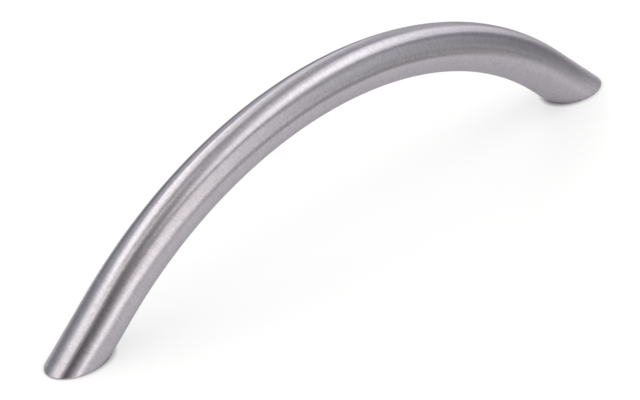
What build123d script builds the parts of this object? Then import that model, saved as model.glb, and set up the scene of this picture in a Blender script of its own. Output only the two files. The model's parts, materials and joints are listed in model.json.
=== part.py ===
"""Arched cabinet handle: one round stainless steel bar, bent to a bow and cut flat at both feet.

The bar runs straight up from each foot for a short way, then along one arc over the crown. Each foot is a
flat oval on the door's plane, with a rounded rim, and holds one blind tapped hole for a machine screw that
comes through the door.

Frame, in millimetres: the door's plane is z = 0 and +Z points away from the door. X runs from foot to foot,
and the origin lies on the door's plane, halfway between the two holes.
"""

from build123d import *
import os
from math import acos, atan2, cos, degrees, hypot, radians, sin, tan

# The bar and its bow
bar_diameter = 12.0
hole_spacing = 160.0  # centre to centre of the two screw holes
hole_inset = 1.5  # how far each hole lies inward of its foot's middle, where the bar above it is thicker
projection = 44.0  # from the door to the outer side of the crown
straight_length = 14.0  # straight end of the bar, from its foot's middle to the bend
rim_radius = 0.2  # rounding of each foot's rim

# The tapped hole in each foot, for an M4 screw
tap_drill_diameter = 3.3
mouth_diameter = 4.2  # countersunk mouth
mouth_angle = 90.0
drill_point_angle = 118.0
hole_skin = 1.2  # least metal left between the drilled hole's end and the outer side of the bar

# Worked out: the centreline passes through the middle of each foot and is tangent to the arc
bar_radius = bar_diameter / 2
foot_x = hole_spacing / 2 + hole_inset
crown_z = projection - bar_radius
bend_radius = (foot_x**2 + crown_z**2 - straight_length**2) / (2 * crown_z)
bend_centre_z = crown_z - bend_radius
foot_reach = hypot(foot_x, bend_centre_z)
slope = degrees(atan2(foot_x, -bend_centre_z) - acos(bend_radius / foot_reach))  # straight end to the door
bend_x = bend_radius * sin(radians(slope))
bend_z = bend_centre_z + bend_radius * cos(radians(slope))
overrun = bar_diameter / tan(radians(slope))  # bar left below the door's plane before the feet are cut

tap_drill_radius = tap_drill_diameter / 2
mouth_radius = mouth_diameter / 2
mouth_depth = (mouth_radius - tap_drill_radius) / tan(radians(mouth_angle / 2))
drill_point_length = tap_drill_radius / tan(radians(drill_point_angle / 2))
metal_over_hole = bar_radius + (hole_inset - tap_drill_radius) * sin(radians(slope))
hole_depth = (metal_over_hole - hole_skin) / cos(radians(slope))


def bar_end(side):
    """Where the uncut bar ends below the door's plane, on the left (side -1) or on the right (side 1)."""
    return (
        side * (foot_x + overrun * cos(radians(slope))),
        -overrun * sin(radians(slope)),
    )


os.makedirs("parts", exist_ok=True)

with BuildPart() as handle:
    # The bow: straight end, arc over the crown, straight end
    with BuildLine(Plane.XZ) as centreline:
        Line(bar_end(-1), (-bend_x, bend_z))
        ThreePointArc((-bend_x, bend_z), (0, crown_z), (bend_x, bend_z))
        Line((bend_x, bend_z), bar_end(1))
    with BuildSketch(centreline.line ^ 0):
        Circle(bar_radius)
    sweep()

    # The feet: cut flat on the door's plane and rounded along the rim
    split(bisect_by=Plane.XY, keep=Keep.TOP)
    fillet(handle.faces().filter_by(Axis.Z).edges(), radius=rim_radius)

    # The tapped holes: countersunk mouth, drilled wall and drill point, square to the door
    for side in (-1, 1):
        hole_x = side * hole_spacing / 2
        with BuildSketch(Plane.XZ.shift_origin((hole_x, 0, 0))):
            with BuildLine():
                Polyline(
                    (0, 0),
                    (mouth_radius, 0),
                    (tap_drill_radius, mouth_depth),
                    (tap_drill_radius, hole_depth),
                    (0, hole_depth + drill_point_length),
                    close=True,
                )
            make_face()
        revolve(axis=Axis((hole_x, 0, 0), (0, 0, 1)), mode=Mode.SUBTRACT)

handle.part.label = "arched_handle"
export_step(handle.part, "parts/arched_handle.step")
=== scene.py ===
"""Looks of the arched cabinet handle: a brushed bar with ground feet and tapped holes.

It stands on a white sheet on a pale grey floor, among plain softboxes. Lengths are in metres.
"""

import json
import math

import bmesh
import bpy
from mathutils import Matrix, Vector


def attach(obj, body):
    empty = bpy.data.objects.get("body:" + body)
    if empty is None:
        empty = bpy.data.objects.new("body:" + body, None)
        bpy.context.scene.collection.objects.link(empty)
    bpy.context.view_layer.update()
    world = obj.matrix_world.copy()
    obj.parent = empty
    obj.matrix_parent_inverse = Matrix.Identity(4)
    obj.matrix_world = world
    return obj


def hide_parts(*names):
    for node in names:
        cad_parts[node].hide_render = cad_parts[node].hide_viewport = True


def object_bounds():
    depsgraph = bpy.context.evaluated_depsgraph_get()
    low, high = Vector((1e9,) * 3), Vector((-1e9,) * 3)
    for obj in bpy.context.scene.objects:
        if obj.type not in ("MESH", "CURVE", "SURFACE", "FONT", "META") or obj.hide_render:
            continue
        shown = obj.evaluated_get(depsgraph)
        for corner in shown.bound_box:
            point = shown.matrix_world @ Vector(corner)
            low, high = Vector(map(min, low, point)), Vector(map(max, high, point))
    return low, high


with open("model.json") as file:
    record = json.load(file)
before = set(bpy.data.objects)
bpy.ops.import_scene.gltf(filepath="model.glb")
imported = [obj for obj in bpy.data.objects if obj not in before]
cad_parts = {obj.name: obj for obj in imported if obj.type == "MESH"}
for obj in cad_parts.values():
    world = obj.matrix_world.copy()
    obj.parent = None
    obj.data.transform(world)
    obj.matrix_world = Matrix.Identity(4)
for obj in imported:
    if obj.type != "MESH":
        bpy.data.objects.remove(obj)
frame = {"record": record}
cad_low, cad_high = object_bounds()

# The bar and its bow, with +Z away from the door and X from foot to foot
mounts = {mount["name"]: mount for mount in frame["record"]["mounts"]}
hole_x = mounts["hole_right"]["pos_m"][0]
bar_radius = (cad_high.y - cad_low.y) / 2
projection = cad_high.z
hole_inset = 0.0015  # from a foot's middle inwards to its hole
straight_length = 0.014
rim_radius = 0.0002

foot_x = hole_x + hole_inset
crown_z = projection - bar_radius
bend_radius = (foot_x**2 + crown_z**2 - straight_length**2) / (2 * crown_z)
bend_centre = Vector((0, 0, crown_z - bend_radius))
foot_reach = math.hypot(foot_x, bend_centre.z)
slope = math.atan2(foot_x, -bend_centre.z) - math.acos(bend_radius / foot_reach)
bend_length = bend_radius * slope  # from the crown to the start of each straight end

# The tapped holes, M4
tap_drill_radius = mounts["hole_right"]["dims"]["r_mm"] / 1000
thread_radius = 0.002
thread_pitch = 0.0007
thread_angle = 60.0
drill_point_angle = 118.0
mouth_radius = 0.0021
hole_skin = 0.0012  # metal kept over the end of the drilled wall
drill_point_length = tap_drill_radius / math.tan(math.radians(drill_point_angle / 2))
# Across the bar, from the drill's outer edge at the door to the skin over it
metal_over_hole = bar_radius + (hole_inset - tap_drill_radius) * math.sin(slope)
hole_depth = (metal_over_hole - hole_skin) / math.cos(slope)
tap_clear = 0.0008  # drilled wall left plain above the thread
thread_overlap = 0.00001  # how far the tap's core lies inside the drilled wall

# How finely the bar is modelled
ring_sides = 128
bend_steps = 176
straight_steps = 5
foot_length = 0.009  # from a foot's middle to the lowest ring that is square to the bar
rim_steps = 8
hole_sides = 48
smooth_angle = 30.0
flat_enough = 0.999  # a face whose normal points at least this much down is a foot's flat
TINY = 1e-6  # lengths below this count as none

# The brushed skin
steel_colour = (0.436, 0.412, 0.446)
edge_tint = (0.68, 0.68, 0.69, 1)
skin_roughness = 0.28
skin_anisotropy = 0.95
# Its grains: cells to the metre along the bar, cells in a radian round it, detail
speckle_grain = (2600.0, 8.0, 1.0)
streak_grain = (2000.0, 2.4, 2.0)
shade_grain = (70.0, 1.3, 2.0)
wave_grain = (30.0, 1.0, 1.0)
# The heights of the grains, and how much lighter or darker they make the steel
speckle_height = 0.000004
streak_height = 0.000005
wave_height = 0.0001
speckle_tone = 0.10
streak_tone = 0.065
shade_tone = 0.02
noise_range = (0.25, 0.75)  # where most values of a noise lie

# The cut steels: colour, lowest roughness, marks to the metre, depth of the marks
foot_steel = ((0.50, 0.48, 0.49), 0.30, 5000.0, 0.000008)
hole_steel = ((0.46, 0.44, 0.45), 0.26, 9000.0, 0.0000015)
mark_stretch = 0.03  # a mark's width over its length
mark_detail = 3.0
mark_tone = (0.90, 1.08)
mark_roughness = 0.08  # how far the roughness varies over the marks

# The floor. The sheet's places are to the camera's right of the handle's middle, and beyond it.
floor_size = 4.0
floor_gap = 0.00005  # between the door's plane and the floor
floor_glow = 0.58  # the sheet's own light, where it is seen
floor_paper = 0.40  # the share of the light on the sheet that it gives back
floor_shade = 0.43  # of the white sheet's level, round the sheet
sheet_middle = (-0.0385, -0.0115)
sheet_half = (0.135, 0.1315)
sheet_fade = 0.006
contact_shadow_reach = 0.0012  # how far the painted contact shadow, a dark line where the feet touch the floor, reaches
contact_shadow_samples = 8
# Nearer than this only a foot's own flat sees the floor, and sees it without that painted shadow
foot_glance = 0.0003

# The camera, whose turn is its yaw, pitch and roll in radians
camera_place = Vector((-0.42961, -0.47546, 0.41577))
camera_turn = (0.72768, 0.57010, -0.04856)
camera_lens = 179.50
camera_sensor = 36.0
camera_clip = (0.01, 20.0)

# The light. Azimuths run from +Y towards +X, and angles are in degrees.
lamp_distance = 1.3
# Softboxes: name, azimuth, elevation, turn, half length, half width, level, colour
lamps = [
    ("right_softbox", 113, 64.5, 22, 44, 10.5, 2.2, (1.0, 1.0, 0.98)),
    ("left_softbox", 302, 46.5, 14, 54, 7.5, 3.1, (1.0, 1.0, 0.98)),
    ("front_panel", 184.5, 3, 86.5, 41, 15, 2.05, (1.0, 0.98, 0.92)),
    ("left_panel", 263.5, 50, 77.5, 22.5, 1.5, 2.6, (1.0, 0.98, 0.90)),
    ("right_panel", 84, 28.5, 58, 32, 8.5, 0.8, (0.97, 1.0, 0.96)),
    ("back_panel", 26.5, 34, 109, 41, 4, 1.65, (0.98, 1.0, 0.97)),
    ("left_bounce", 295.5, 51.5, 34, 41.5, 2.5, 1.65, (1.0, 0.94, 0.80)),
    ("back_bounce", 7.5, 19.5, 60.5, 9, 25, 0.6, (1.0, 0.98, 1.0)),
]
# The softbox on the floor: its near and far edge in front of the handle's middle,
# its reach to the left and to the right, level, colour
floor_panel = (0.134, 0.30, 0.28, 0.26, 1.5, (1.0, 0.98, 0.92))
panel_height = 0.0005
# The room's colour level with the handle and below it, and straight overhead
room_low = (0.20, 0.21, 0.26)
room_high = (0.54, 0.54, 0.54)
# Patches of the room: azimuth, elevation, full half-angle, fading angle, colour
patches = [
    (134.5, 20, 19.5, 3, (0.94, 0.96, 0.98)),
    (115.5, -3, 9, 17.5, (0.21, 0.21, 0.22)),
    (54, 12, 8, 14.5, (1.05, 1.07, 1.12)),
]
# The dark side where the camera stands: azimuth, half width, fading angle, top, colour
camera_side = (236, 30, 3.5, 62.5, (0.01, 0.01, 0.01))
camera_side_back = 0.05  # half the soft edge between the camera's half of the room and the other
camera_side_top = 0.075  # half the soft edge at the dark side's top
# The light along the foot of the wall: azimuth, half width, fading angle, elevation,
# half height, colour
skirting = (181.5, 9, 22, 0.3, 2, (3.3, 3.3, 3.15))

BAR_MAP = "bar_map"
SKIN = "skin_normal"
NODE_SPACING = 220


def deselect_all():
    """Leaves nothing selected, so that an operator acts only on what comes next."""
    bpy.ops.object.select_all(action="DESELECT")


def start_piece(name):
    """Names the primitive that was just added and puts its place into its mesh."""
    piece = bpy.context.object
    piece.name = name
    piece.data.name = name
    bpy.ops.object.transform_apply(location=True, rotation=True, scale=True)
    return piece


def make_active(piece):
    """Selects one piece alone, for the operator that comes next."""
    deselect_all()
    piece.select_set(True)
    bpy.context.view_layer.objects.active = piece


def apply_modifier(piece, modifier):
    """Puts what a modifier does into the piece's mesh."""
    make_active(piece)
    bpy.ops.object.modifier_apply(modifier=modifier.name)


def turn_outwards():
    """Selects the whole mesh in edit mode and points its normals outwards."""
    bpy.ops.mesh.select_all(action="SELECT")
    bpy.ops.mesh.normals_make_consistent(inside=False)


# The bar


def extrude_run(direction, length, steps):
    """Extrudes the selected ring along a straight run, in even steps."""
    step = direction * (length / steps)
    for _ in range(steps):
        bpy.ops.mesh.extrude_region_move(TRANSFORM_OT_translate={"value": step})


def select_open_end(piece, belongs):
    """Selects the edges of one open end, those whose two vertices belong to it."""
    bpy.ops.mesh.select_all(action="DESELECT")
    bm = bmesh.from_edit_mesh(piece.data)
    for edge in bm.edges:
        if edge.is_boundary and all(belongs(vertex.co) for vertex in edge.verts):
            edge.select_set(True)
    bmesh.update_edit_mesh(piece.data)


def lay_ring(bow, place):
    """Extrudes the selected ring and moves each new point where place says.

    It says so from the bar's normal at that point.
    """
    bpy.ops.mesh.extrude_region_move(TRANSFORM_OT_translate={"value": (0, 0, 0)})
    bm = bmesh.from_edit_mesh(bow.data)
    normals = bm.verts.layers.float_vector[SKIN]
    for vertex in bm.verts:
        if vertex.select:
            vertex.co = place(vertex[normals])
    bmesh.update_edit_mesh(bow.data)


def close_foot(bow, side):
    """Brings the open ring down to the door's plane and closes it with a flat foot.

    The rim between the skin and the flat has one radius all round.
    """
    foot = Vector((side * foot_x, 0, 0))
    rising = Vector((-side * math.cos(slope), 0, math.sin(slope)))
    bm = bmesh.from_edit_mesh(bow.data)
    vectors = bm.verts.layers.float_vector
    normals = vectors.get(SKIN) or vectors.new(SKIN)
    for vertex in bm.verts:
        if vertex.select:
            offset = vertex.co - foot
            vertex[normals] = (offset - rising * offset.dot(rising)).normalized()
    bmesh.update_edit_mesh(bow.data)

    def rim_place(share):
        """A point of the rim, share of the way round from the bar's skin to the foot's flat."""

        def place(normal):
            normal = Vector(normal)
            across = foot + normal * (bar_radius - rim_radius)
            centre = across + rising * ((rim_radius - across.z) / rising.z)
            return centre + normal.slerp(Vector((0, 0, -1)), share) * rim_radius

        return place

    for step in range(rim_steps + 1):
        lay_ring(bow, rim_place(step / rim_steps))
    bpy.ops.mesh.edge_face_add()


def model_bow():
    """A ring drawn up one straight end, spun over the crown, drawn down the other end.

    Both feet are closed last.
    """
    rising = Vector((math.cos(slope), 0, math.sin(slope)))
    falling = Vector((math.cos(slope), 0, -math.sin(slope)))
    deselect_all()
    bpy.ops.mesh.primitive_circle_add(
        vertices=ring_sides,
        radius=bar_radius,
        location=Vector((-foot_x, 0, 0)) + rising * foot_length,
        rotation=(0, math.pi / 2 - slope, 0),
    )
    bow = start_piece("brushed_bow")
    bpy.ops.object.mode_set(mode="EDIT")
    bpy.ops.mesh.select_mode(type="EDGE")
    bpy.ops.mesh.select_all(action="SELECT")
    extrude_run(rising, straight_length - foot_length, straight_steps)
    bpy.ops.mesh.spin(steps=bend_steps, angle=2 * slope, center=bend_centre, axis=(0, -1, 0))
    extrude_run(falling, straight_length - foot_length, straight_steps)
    for side in (-1, 1):
        select_open_end(bow, lambda point: point.x * side > 0)
        close_foot(bow, side)
    turn_outwards()
    bpy.ops.object.mode_set(mode="OBJECT")
    return bow


# The tapped holes


def start_outline(name, outline):
    """A new mesh, left in edit mode, that holds one chain of edges.

    The outline gives the radius and the height of each point of the chain.
    """
    deselect_all()
    bpy.ops.mesh.primitive_plane_add(size=thread_pitch)
    body = start_piece(name)
    bpy.ops.object.mode_set(mode="EDIT")
    bm = bmesh.from_edit_mesh(body.data)
    bm.clear()
    points = [bm.verts.new((radius, 0, height)) for radius, height in outline]
    for start, end in zip(points, points[1:]):
        bm.edges.new((start, end))
    bmesh.update_edit_mesh(body.data)
    return body


def drill_body():
    """The drill: a point, a straight wall and the countersink's cone, turned about Z."""
    drill = start_outline("drill", [
        (0, -thread_pitch),
        (mouth_radius + thread_pitch, -thread_pitch),
        (tap_drill_radius, mouth_radius - tap_drill_radius),
        (tap_drill_radius, hole_depth),
        (0, hole_depth + drill_point_length),
    ])
    bpy.ops.mesh.select_all(action="SELECT")
    bpy.ops.mesh.spin(steps=hole_sides, angle=math.tau, center=(0, 0, 0), axis=(0, 0, 1))
    bpy.ops.mesh.select_all(action="SELECT")
    bpy.ops.mesh.remove_doubles(threshold=TINY)
    turn_outwards()
    bpy.ops.object.mode_set(mode="OBJECT")
    return drill


def thread_body():
    """The tap: one tooth's outline screwed up through the hole, filled at both ends."""
    top = hole_depth - tap_clear
    turns = int(top / thread_pitch) + 1
    core = tap_drill_radius - thread_overlap
    flank = (thread_radius - core) * math.tan(math.radians(thread_angle / 2))
    crest = thread_pitch / 8
    tap = start_outline("tap", [
        (core, 0),
        (thread_radius, flank),
        (thread_radius, flank + crest),
        (core, 2 * flank + crest),
        (core, thread_pitch),
    ])
    bpy.ops.object.mode_set(mode="OBJECT")
    screw = tap.modifiers.new("thread", "SCREW")
    screw.axis = "Z"
    screw.angle = math.tau
    screw.screw_offset = thread_pitch
    screw.iterations = turns
    screw.steps = screw.render_steps = hole_sides
    screw.use_merge_vertices = True
    screw.merge_threshold = TINY
    apply_modifier(tap, screw)
    bpy.ops.object.mode_set(mode="EDIT")
    bpy.ops.mesh.select_mode(type="EDGE")
    bpy.ops.mesh.select_all(action="SELECT")
    bpy.ops.mesh.remove_doubles(threshold=TINY)
    middle = (turns + 1) * thread_pitch / 2
    for side in (-1, 1):
        select_open_end(tap, lambda point: (point.z - middle) * side > 0)
        bpy.ops.mesh.edge_face_add()
        bpy.ops.mesh.poke()
    turn_outwards()
    bpy.ops.transform.translate(value=(0, 0, top - (turns + 1) * thread_pitch))
    bpy.ops.object.mode_set(mode="OBJECT")
    return tap


def cut(piece, tool, side):
    """Cuts a copy of the tool, moved to one foot's hole, out of the piece."""
    make_active(tool)
    bpy.ops.object.duplicate()
    copy = bpy.context.object
    copy.location.x = side * hole_x
    bpy.ops.object.transform_apply(location=True, rotation=False, scale=False)
    boolean = piece.modifiers.new("cut", "BOOLEAN")
    boolean.operation = "DIFFERENCE"
    boolean.solver = "MANIFOLD"
    boolean.object = copy
    apply_modifier(piece, boolean)
    bpy.data.objects.remove(copy)


def drill_and_tap(bow):
    """Drills, countersinks and taps one blind hole up into each foot."""
    tools = drill_body(), thread_body()
    for side in (-1, 1):
        for tool in tools:
            cut(bow, tool, side)
    for tool in tools:
        bpy.data.objects.remove(tool)


# Map and materials


def place_on_bar(point):
    """Where a point lies: along the bar's middle line from the crown, and outwards from it."""
    out_of_bend = point.z - bend_centre.z
    angle = math.atan2(point.x, out_of_bend)
    if abs(angle) <= slope:
        return bend_radius * angle, math.hypot(point.x, out_of_bend) - bend_radius
    side = math.copysign(1, point.x)
    falling = Vector((side * math.cos(slope), 0, -math.sin(slope)))
    outwards = Vector((side * math.sin(slope), 0, math.cos(slope)))
    from_foot = point - Vector((side * foot_x, 0, 0))
    along = side * (bend_length + straight_length + from_foot.dot(falling))
    return along, from_foot.dot(outwards)


def map_bar(bow):
    """UV map of the bar: metres along it from the crown, and turns round it from the outside."""
    bm = bmesh.new()
    bm.from_mesh(bow.data)
    uv_map = bm.loops.layers.uv.new(BAR_MAP)
    for face in bm.faces:
        first_turn = None
        for loop in face.loops:
            point = loop.vert.co
            along, outwards = place_on_bar(point)
            turn = math.atan2(-point.y, outwards) / math.tau
            if first_turn is None:
                first_turn = turn
            loop[uv_map].uv = (along, turn + round(first_turn - turn))
    bm.to_mesh(bow.data)
    bm.free()


class Nodes:
    """Adds nodes to a tree from left to right and links them."""

    def __init__(self, tree):
        self.tree = tree
        tree.nodes.clear()

    def add(self, kind, settings=None, inputs=None):
        """Adds a node. An input is either a socket to link or a value."""
        node = self.tree.nodes.new(kind)
        node.location = (NODE_SPACING * len(self.tree.nodes), 0)
        for name, value in (settings or {}).items():
            setattr(node, name, value)
        for name, value in (inputs or {}).items():
            if isinstance(value, bpy.types.NodeSocket):
                self.tree.links.new(value, node.inputs[name])
            else:
                node.inputs[name].default_value = value
        return node

    def maths(self, operation, first, second=0.0):
        inputs = {0: first, 1: second}
        return self.add("ShaderNodeMath", {"operation": operation}, inputs).outputs[0]

    def vector(self, x, y, z):
        return self.add("ShaderNodeCombineXYZ", None, {"X": x, "Y": y, "Z": z}).outputs[0]

    def dot(self, first, second):
        inputs = {0: first, 1: second}
        settings = {"operation": "DOT_PRODUCT"}
        return self.add("ShaderNodeVectorMath", settings, inputs).outputs["Value"]

    def scaled(self, colour, factor):
        """A colour made lighter or darker."""
        inputs = {0: colour, "Scale": factor}
        return self.add("ShaderNodeVectorMath", {"operation": "SCALE"}, inputs).outputs[0]

    def mix(self, share, first, second):
        """Mixes two colours."""
        inputs = {0: share, 6: first, 7: second}
        return self.add("ShaderNodeMix", {"data_type": "RGBA"}, inputs).outputs[2]

    def noise(self, place, detail):
        inputs = {"Vector": place, "Scale": 1.0, "Detail": detail}
        return self.add("ShaderNodeTexNoise", None, inputs).outputs["Fac"]

    def ramp(self, value, start, end, low=0.0, high=1.0, shape="SMOOTHSTEP"):
        """Takes a value from start to end on to the range from low to high."""
        ranges = {"From Min": start, "From Max": end, "To Min": low, "To Max": high}
        settings = {"interpolation_type": shape}
        return self.add("ShaderNodeMapRange", settings, {"Value": value, **ranges}).outputs[0]

    def spread(self, noise, low, high):
        """Takes a noise on to the range from low to high."""
        return self.ramp(noise, *noise_range, low, high, "LINEAR")

    def bump(self, height):
        """The normals of a surface with these heights, in metres."""
        inputs = {"Strength": 1.0, "Distance": 1.0, "Height": height}
        return self.add("ShaderNodeBump", None, inputs).outputs[0]

    def finish(self, kind, surface):
        """Ends the tree of a material or a world."""
        self.add("ShaderNodeOutput" + kind, None, {"Surface": surface})

    def finish_steel(self, inputs):
        """Ends the tree of a material in a metal."""
        inputs = {"Metallic": 1.0, **inputs}
        self.finish("Material", self.add("ShaderNodeBsdfPrincipled", None, inputs).outputs[0])


def start_material(name):
    """A new material and its nodes, of which it has none yet."""
    material = bpy.data.materials.new(name)
    material.use_nodes = True
    return material, Nodes(material.node_tree)


def brushed_steel():
    """Steel brushed round the bar, with speckle, fine streaks, broader shade and a faint wave."""
    material, nodes = start_material("brushed_steel")
    place = nodes.add("ShaderNodeUVMap", {"uv_map": BAR_MAP}).outputs[0]
    split = nodes.add("ShaderNodeSeparateXYZ", None, {0: place})
    along, turn = split.outputs["X"], nodes.maths("MULTIPLY", split.outputs["Y"], math.tau)
    cosine, sine = nodes.maths("COSINE", turn), nodes.maths("SINE", turn)

    def grain(per_metre, round_it, detail):
        """Noise with per_metre cells along the bar and round_it cells in a radian round it."""
        cell = nodes.vector(
            nodes.maths("MULTIPLY", along, per_metre),
            nodes.maths("MULTIPLY", cosine, round_it),
            nodes.maths("MULTIPLY", sine, round_it),
        )
        return nodes.noise(cell, detail)

    speckle = grain(*speckle_grain)
    streak = grain(*streak_grain)
    shade = grain(*shade_grain)
    wave = grain(*wave_grain)

    height = nodes.maths("MULTIPLY", speckle, speckle_height)
    height = nodes.maths("ADD", height, nodes.maths("MULTIPLY", streak, streak_height))
    height = nodes.maths("ADD", height, nodes.maths("MULTIPLY", wave, wave_height))
    tone = nodes.maths(
        "ADD",
        nodes.spread(speckle, -speckle_tone, speckle_tone),
        nodes.spread(streak, -streak_tone, streak_tone),
    )
    tone = nodes.maths("ADD", tone, nodes.spread(shade, 1 - shade_tone, 1 + shade_tone))
    tangent = nodes.add("ShaderNodeTangent", {"direction_type": "UV_MAP", "uv_map": BAR_MAP})
    nodes.finish_steel({
        "Base Color": nodes.scaled(steel_colour, tone),
        "Specular Tint": edge_tint,
        "Roughness": skin_roughness,
        "Anisotropic": skin_anisotropy,
        "Normal": nodes.bump(height),
        "Tangent": tangent.outputs[0],
    })
    return material


def cut_steel(name, colour, roughness, across, depth):
    """Cut steel with fine straight marks along X: across of them to the metre, and depth deep."""
    material, nodes = start_material(name)
    place = nodes.add("ShaderNodeTexCoord").outputs["Object"]
    inputs = {0: place, 1: (across * mark_stretch, across, across)}
    cell = nodes.add("ShaderNodeVectorMath", {"operation": "MULTIPLY"}, inputs).outputs[0]
    marks = nodes.noise(cell, mark_detail)
    nodes.finish_steel({
        "Base Color": nodes.scaled(colour, nodes.spread(marks, *mark_tone)),
        "Roughness": nodes.spread(marks, roughness, roughness + mark_roughness),
        "Normal": nodes.bump(nodes.maths("MULTIPLY", marks, depth)),
    })
    return material


def finish_surfaces(bow):
    """Gives the skin, the two flat feet and the holes their own steels, and smooths the shading."""
    bow.data.materials.clear()
    bow.data.materials.append(brushed_steel())
    bow.data.materials.append(cut_steel("ground_foot", *foot_steel))
    bow.data.materials.append(cut_steel("tapped_hole", *hole_steel))
    foot, hole = 1, 2  # places in that list, where 0 is the skin
    hole_top = hole_depth + drill_point_length
    for face in bow.data.polygons:
        centre = face.center
        from_hole = math.hypot(abs(centre.x) - hole_x, centre.y)
        if face.normal.z < -flat_enough and centre.z < TINY:
            face.material_index = foot
        elif from_hole < mouth_radius + TINY and centre.z < hole_top + TINY:
            face.material_index = hole
    make_active(bow)
    bpy.ops.object.shade_smooth_by_angle(angle=math.radians(smooth_angle))


# Floor, lamps, surroundings and camera


def heading(azimuth, elevation):
    """The direction at an azimuth from +Y towards +X and an elevation, both in degrees."""
    azimuth, elevation = math.radians(azimuth), math.radians(elevation)
    level = math.cos(elevation)
    return Vector((math.sin(azimuth) * level, math.cos(azimuth) * level, math.sin(elevation)))


def camera_sides():
    """The directions to the camera's right and away from it, level with the floor."""
    yaw = camera_turn[0]
    return Vector((math.cos(yaw), -math.sin(yaw), 0)), Vector((math.sin(yaw), math.cos(yaw), 0))


def lay_floor():
    """A pale floor with a white sheet under the handle.

    It keeps the soft shadow, has a painted contact shadow where the feet touch it, and is clear
    from below.
    """
    deselect_all()
    bpy.ops.mesh.primitive_plane_add(size=floor_size, location=(0, 0, -floor_gap))
    floor = start_piece("floor")
    material, nodes = start_material("pale_floor")
    place = nodes.add("ShaderNodeTexCoord").outputs["Object"]
    outside = []
    for side, middle, half in zip(camera_sides(), sheet_middle, sheet_half):
        from_middle = nodes.maths("SUBTRACT", nodes.dot(place, side), middle)
        from_middle = nodes.maths("ABSOLUTE", from_middle)
        outside.append(nodes.maths("SUBTRACT", from_middle, half))
    edge = nodes.maths("MAXIMUM", *outside)
    shade = nodes.ramp(edge, -sheet_fade, sheet_fade, 1.0, floor_shade)
    grey = nodes.maths("MULTIPLY", shade, floor_paper)
    grey = nodes.vector(grey, grey, grey)
    paper = nodes.add("ShaderNodeBsdfDiffuse", None, {"Color": grey}).outputs[0]

    path = nodes.add("ShaderNodeLightPath").outputs
    seen = nodes.maths("ADD", path["Is Camera Ray"], path["Is Glossy Ray"])
    # Painted contact shadow: ambient occlusion near the feet darkens the floor's glow, for rays
    # from further than foot_glance
    contact = nodes.add(
        "ShaderNodeAmbientOcclusion", {"samples": contact_shadow_samples}, {"Distance": contact_shadow_reach}
    )
    painted_shadow = nodes.maths("SUBTRACT", 1.0, contact.outputs["AO"])
    from_afar = nodes.maths("GREATER_THAN", path["Ray Length"], foot_glance)
    painted_shadow = nodes.maths("MULTIPLY", painted_shadow, from_afar)
    glow = nodes.maths("MULTIPLY", nodes.maths("MULTIPLY", seen, floor_glow), shade)
    glow = nodes.maths("MULTIPLY", glow, nodes.maths("SUBTRACT", 1.0, painted_shadow))
    white = nodes.add("ShaderNodeEmission", None, {"Color": (1, 1, 1, 1), "Strength": glow})
    both = nodes.add("ShaderNodeAddShader", None, {0: paper, 1: white.outputs[0]}).outputs[0]
    clear = nodes.add("ShaderNodeBsdfTransparent").outputs[0]
    below = nodes.add("ShaderNodeNewGeometry").outputs["Backfacing"]
    surface = nodes.add("ShaderNodeMixShader", None, {0: below, 1: both, 2: clear})
    nodes.finish("Material", surface.outputs[0])
    floor.data.materials.append(material)
    return floor


def add_lamp(name, middle, back, long_side, length, width, level, colour):
    """A rectangular softbox of one level all over, whose dark back points along back."""
    data = bpy.data.lights.new(name, "AREA")
    data.shape = "RECTANGLE"
    data.size, data.size_y = length, width
    data.energy = level * math.pi * length * width
    data.color = colour
    lamp = bpy.data.objects.new(name, data)
    axes = Matrix((long_side, back.cross(long_side), back)).transposed()
    lamp.matrix_world = Matrix.Translation(middle) @ axes.to_4x4()
    bpy.context.collection.objects.link(lamp)
    lamp.visible_camera = False


def hang_lamps():
    """Softboxes round the handle, each turned to face it, and one flat on the floor.

    The one on the floor lies between the sheet and the camera.
    """
    for name, azimuth, elevation, turn, half_length, half_width, level, colour in lamps:
        outwards = heading(azimuth, elevation)
        aside = heading(azimuth + 90, 0)
        upwards = aside.cross(outwards)
        turn = math.radians(turn)
        long_side = aside * math.cos(turn) + upwards * math.sin(turn)
        length = 2 * lamp_distance * math.tan(math.radians(half_length))
        width = 2 * lamp_distance * math.tan(math.radians(half_width))
        place = outwards * lamp_distance
        add_lamp(name, place, outwards, long_side, length, width, level, colour)
    near, far, to_left, to_right, level, colour = floor_panel
    right, forward = camera_sides()
    place = right * ((to_right - to_left) / 2) - forward * ((near + far) / 2)
    place.z = panel_height
    down = Vector((0, 0, -1))
    add_lamp("floor_panel", place, down, right, to_left + to_right, far - near, level, colour)


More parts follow.
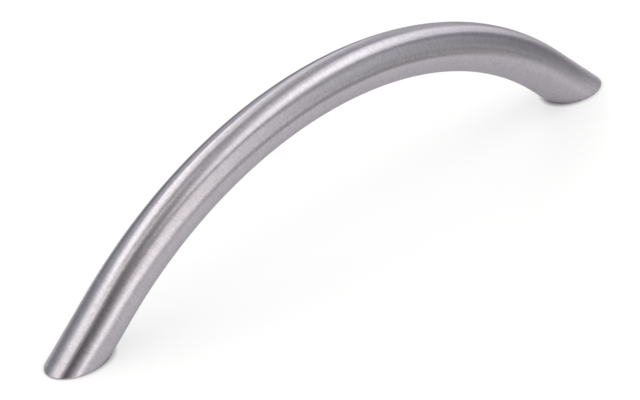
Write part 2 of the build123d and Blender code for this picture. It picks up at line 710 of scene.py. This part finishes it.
def surround():
    """A plain dim room, lighter overhead, with lighter and darker patches.

    It is dark where the camera stands, and bright along the foot of one wall.
    """
    world = bpy.data.worlds.new("studio")
    bpy.context.scene.world = world
    world.use_nodes = True
    nodes = Nodes(world.node_tree)
    direction = nodes.add("ShaderNodeTexCoord").outputs["Generated"]
    height = nodes.add("ShaderNodeSeparateXYZ", None, {0: direction}).outputs["Z"]

    def towards(azimuth, elevation):
        """The cosine of the angle to a direction."""
        return nodes.dot(direction, heading(azimuth, elevation))

    def sine(degrees):
        return math.sin(math.radians(degrees))

    def cosine(degrees):
        return math.cos(math.radians(degrees))

    def around(azimuth, elevation, near, fade):
        """1 within the angle near of a direction, falling to 0 over the angle fade."""
        return nodes.ramp(towards(azimuth, elevation), cosine(near + fade), cosine(near))

    share = nodes.maths("MAXIMUM", height, 0.0)
    colour = nodes.mix(share, (*room_low, 1), (*room_high, 1))
    for *spot, shade in patches:
        colour = nodes.mix(around(*spot), colour, (*shade, 1))

    azimuth, near, fade, top, shade = camera_side
    aside = nodes.maths("ABSOLUTE", towards(azimuth + 90, 0))
    share = nodes.ramp(aside, sine(near + fade), sine(near))
    front = nodes.ramp(towards(azimuth, 0), -camera_side_back, camera_side_back)
    share = nodes.maths("MULTIPLY", share, front)
    under = nodes.ramp(height, sine(top) + camera_side_top, sine(top) - camera_side_top)
    share = nodes.maths("MULTIPLY", share, under)
    colour = nodes.mix(share, colour, (*shade, 1))

    azimuth, near, fade, elevation, half_height, shade = skirting
    rise = nodes.maths("SUBTRACT", height, sine(elevation))
    rise = nodes.maths("DIVIDE", rise, sine(half_height))
    fall = nodes.maths("MULTIPLY", nodes.maths("POWER", rise, 2.0), -1.0)
    share = nodes.maths("MULTIPLY", nodes.maths("EXPONENT", fall), around(azimuth, 0, near, fade))
    colour = nodes.mix(share, colour, (*shade, 1))
    back = nodes.add("ShaderNodeBackground", None, {"Color": colour, "Strength": 1.0})
    nodes.finish("World", back.outputs[0])


def set_camera():
    """The photograph's view of the handle, from above its left foot."""
    yaw, pitch, roll = camera_turn
    level = math.cos(pitch)
    forward = Vector((math.sin(yaw) * level, math.cos(yaw) * level, -math.sin(pitch)))
    level_right = camera_sides()[0]
    level_up = level_right.cross(forward)
    right = level_right * math.cos(roll) + level_up * math.sin(roll)
    up = level_up * math.cos(roll) - level_right * math.sin(roll)
    data = bpy.data.cameras.new("view")
    data.sensor_width = camera_sensor
    data.lens = camera_lens
    data.clip_start, data.clip_end = camera_clip
    camera = bpy.data.objects.new("view", data)
    axes = Matrix((right, up, -forward)).transposed()
    camera.matrix_world = Matrix.Translation(camera_place) @ axes.to_4x4()
    bpy.context.collection.objects.link(camera)
    bpy.context.scene.camera = camera


bow = model_bow()
drill_and_tap(bow)
map_bar(bow)
finish_surfaces(bow)
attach(bow, "root")
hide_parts("arched_handle")

lay_floor()
hang_lamps()
surround()
set_camera()
bpy.context.scene.view_settings.view_transform = "Standard"
